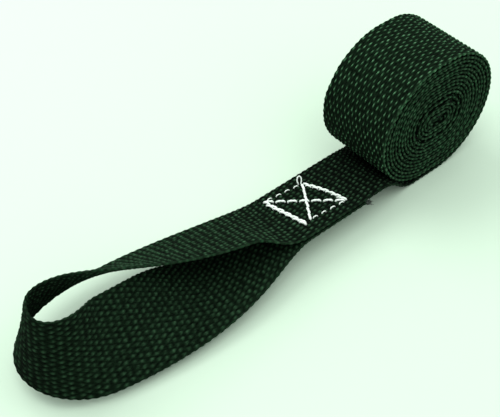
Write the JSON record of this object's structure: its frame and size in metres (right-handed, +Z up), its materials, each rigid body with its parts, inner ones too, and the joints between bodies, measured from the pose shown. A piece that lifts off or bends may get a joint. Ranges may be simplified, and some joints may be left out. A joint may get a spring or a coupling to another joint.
{
  "type": "hand wrap",
  "caption": "Rolled cotton hand wrap with its free end sewn back by a crossed box stitch into a long standing loop.",
  "frame": {"origin": "on the table under the roll, where the tail leaves the roll, mid-way across the webbing", "axes": "+Z up from the table, +Y along the roll's axis away from the viewer's end, -X towards the loop"},
  "size_m": [0.3207, 0.0755, 0.0835],
  "materials": {
    "webbing": "matte woven cotton, near-black with a green cast",
    "white_thread": "matte twisted sewing thread",
    "hook_tape": "nylon hook tape",
    "pile_tape": "brushed nylon pile tape",
    "dark_thread": "matte sewing thread"
  },
  "bodies": {
    "tail": {"tail": "webbing"},
    "turn_1": {"turn_1": "webbing"},
    "turn_2": {"turn_2": "webbing"},
    "turn_3": {"turn_3": "webbing"},
    "turn_4": {"turn_4": "webbing"},
    "roll": {"coil": "webbing", "hook_patch": "hook_tape", "pile_patch": "pile_tape", "patch_stitches": "dark_thread"},
    "lap": {"lap_top": "webbing", "lap_bottom": "webbing", "box_stitch_needle": "white_thread", "box_stitch_bobbin": "white_thread"},
    "loop": {"loop_strap": "webbing"}
  },
  "joints": [
    {"name": "unroll_1", "type": "hinge", "parent": "tail", "child": "turn_1", "pos_m": [0.01175, 0, 0.00063], "axis": [0, 1, 0], "range_deg": [0, 20]},
    {"name": "unroll_2", "type": "hinge", "parent": "turn_1", "child": "turn_2", "pos_m": [0.02538, 0, 0.00559], "axis": [0, 1, 0], "range_deg": [0, 20]},
    {"name": "unroll_3", "type": "hinge", "parent": "turn_2", "child": "turn_3", "pos_m": [0.03648, 0, 0.01491], "axis": [0, 1, 0], "range_deg": [0, 20]},
    {"name": "unroll_4", "type": "hinge", "parent": "turn_3", "child": "turn_4", "pos_m": [0.04373, 0, 0.02747], "axis": [0, 1, 0], "range_deg": [0, 20]},
    {"name": "unroll_5", "type": "hinge", "parent": "turn_4", "child": "roll", "pos_m": [0.04625, 0, 0.04175], "axis": [0, 1, 0], "range_deg": [0, 20]},
    {"name": "tail_lift", "type": "hinge", "parent": "tail", "child": "lap", "pos_m": [-0.05, 0.02023, 0.00958], "axis": [0, 0.9781, -0.2079], "range_deg": [0, 40]},
    {"name": "loop_fold", "type": "hinge", "parent": "lap", "child": "loop", "pos_m": [-0.1015, 0.02023, 0.00958], "axis": [0, 0.9781, -0.2079], "range_deg": [0, 60]}
  ],
  "couplings": [
    {"joint": "unroll_1", "follows": "unroll_5", "ratio": 1},
    {"joint": "unroll_2", "follows": "unroll_5", "ratio": 1},
    {"joint": "unroll_3", "follows": "unroll_5", "ratio": 1},
    {"joint": "unroll_4", "follows": "unroll_5", "ratio": 1}
  ]
}
